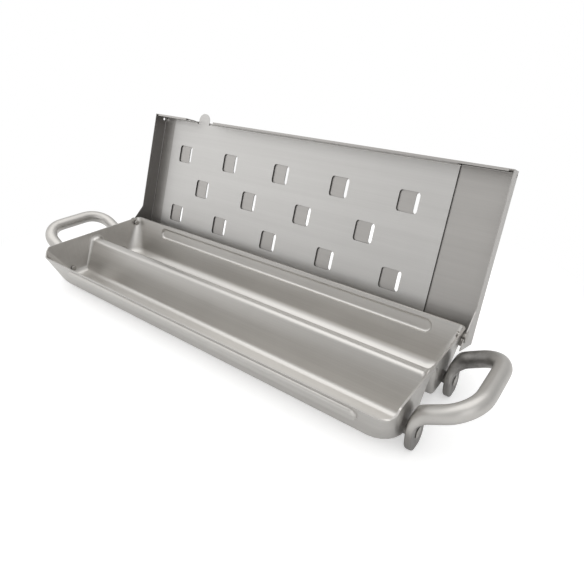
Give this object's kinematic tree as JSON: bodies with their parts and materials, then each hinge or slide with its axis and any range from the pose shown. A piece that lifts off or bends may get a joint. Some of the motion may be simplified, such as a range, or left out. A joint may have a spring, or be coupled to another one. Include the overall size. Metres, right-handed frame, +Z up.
{
  "type": "grill smoker box",
  "caption": "Long stainless smoker box for a grill: two-trough tray on handle lugs, hinged lid standing open, and a sliding vent plate inside the lid.",
  "frame": {"origin": "middle of the open box's bounding box, on the surface that it stands on", "axes": "+X along the box towards its right handle, +Y from the front rim towards the hinge, +Z up"},
  "size_m": [0.4284, 0.1622, 0.1423],
  "materials": {
    "sheet_steel": "satin, brushed along the length",
    "bar_steel": "satin, tumbled forged bar",
    "rivet_steel": "smooth"
  },
  "bodies": {
    "box": {"tray": "sheet_steel", "handle_right": "bar_steel", "handle_left": "bar_steel", "hinge_rivet_right": "rivet_steel", "hinge_rivet_left": "rivet_steel", "handle_rivet_right_front": "rivet_steel", "handle_rivet_right_back": "rivet_steel", "handle_rivet_left_front": "rivet_steel", "handle_rivet_left_back": "rivet_steel"},
    "hinged_lid": {"lid": "sheet_steel", "vent_plate_rail": "sheet_steel"},
    "sliding_vent": {"vent_plate": "sheet_steel"}
  },
  "joints": [
    {"name": "lid_hinge", "type": "hinge", "parent": "box", "child": "hinged_lid", "pos_m": [0, 0.02137, 0.0342], "axis": [1, 0, 0], "range_deg": [0, 118]},
    {"name": "vent_slide", "type": "slide", "parent": "hinged_lid", "child": "sliding_vent", "axis": [1, 0, 0], "range_m": [-0.0045, 0.013]}
  ]
}
